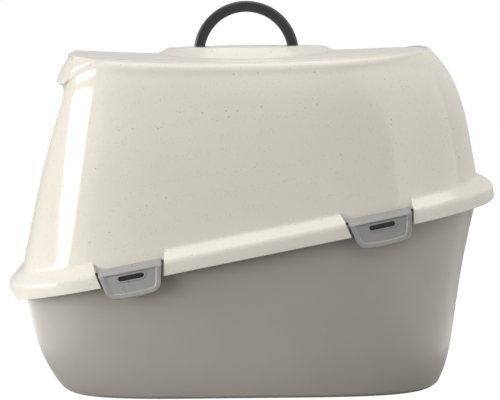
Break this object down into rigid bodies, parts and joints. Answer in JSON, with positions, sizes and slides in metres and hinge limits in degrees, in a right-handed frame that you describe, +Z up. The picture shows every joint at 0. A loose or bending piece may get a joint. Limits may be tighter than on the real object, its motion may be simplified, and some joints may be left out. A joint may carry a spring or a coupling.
{
  "type": "hooded litter box",
  "caption": "Hooded cat litter box: base pan, clip-on hood with a visor, swing door, folding carry handle and vented filter.",
  "frame": {"origin": "centre of the bounding box's footprint, on the surface that the box stands on", "axes": "+Z up, -Y to the front with the visor and door, +X to the box's left side as seen from the front"},
  "size_m": [0.3974, 0.587, 0.4635],
  "materials": {
    "base_plastic": "satin taupe grey moulded polypropylene",
    "hood_plastic": "glossy warm white moulded plastic with fine dark speckles",
    "door_plastic": "smoke grey clear plastic",
    "handle_plastic": "near-black satin plastic",
    "filter_fibre": "black carbon-loaded foam",
    "holder_plastic": "satin warm white moulded plastic",
    "clip_plastic": "satin mid grey moulded plastic"
  },
  "bodies": {
    "root": {"base_pan": "base_plastic"},
    "hood": {"hood": "hood_plastic"},
    "door": {"swing_door": "door_plastic"},
    "handle": {"handle": "handle_plastic"},
    "filter": {"filter_holder": "holder_plastic", "filter_pad": "filter_fibre"},
    "clip_front_right": {"clip_front_right": "clip_plastic"},
    "clip_front_left": {"clip_front_left": "clip_plastic"},
    "clip_rear_right": {"clip_rear_right": "clip_plastic"},
    "clip_rear_left": {"clip_rear_left": "clip_plastic"}
  },
  "joints": [
    {"name": "hood_lift", "type": "slide", "parent": "root", "child": "hood", "axis": [0, 0, 1], "range_m": [0, 0.06]},
    {"name": "door_swing", "type": "hinge", "parent": "hood", "child": "door", "pos_m": [0, -0.207, 0.344], "axis": [1, 0, 0], "range_deg": [-75, 75]},
    {"name": "handle_fold", "type": "hinge", "parent": "hood", "child": "handle", "pos_m": [0, -0.0035, 0.3975], "axis": [0, 1, 0], "range_deg": [-90, 90]},
    {"name": "holder_pull", "type": "slide", "parent": "hood", "child": "filter", "axis": [0, 0, -1], "range_m": [0, 0.04]},
    {"name": "clip_front_right_turn", "type": "hinge", "parent": "hood", "child": "clip_front_right", "pos_m": [0.1876, -0.14092, 0.16116], "axis": [-0.0331, -0.9801, -0.1958], "range_deg": [0, 80]},
    {"name": "clip_front_left_turn", "type": "hinge", "parent": "hood", "child": "clip_front_left", "pos_m": [-0.1876, -0.14092, 0.16116], "axis": [-0.0331, 0.9801, 0.1958], "range_deg": [0, 80]},
    {"name": "clip_rear_right_turn", "type": "hinge", "parent": "hood", "child": "clip_rear_right", "pos_m": [0.18672, 0.1405, 0.21739], "axis": [0.0567, -0.979, -0.1956], "range_deg": [0, 80]},
    {"name": "clip_rear_left_turn", "type": "hinge", "parent": "hood", "child": "clip_rear_left", "pos_m": [-0.18672, 0.1405, 0.21739], "axis": [0.0567, 0.979, 0.1956], "range_deg": [0, 80]}
  ]
}
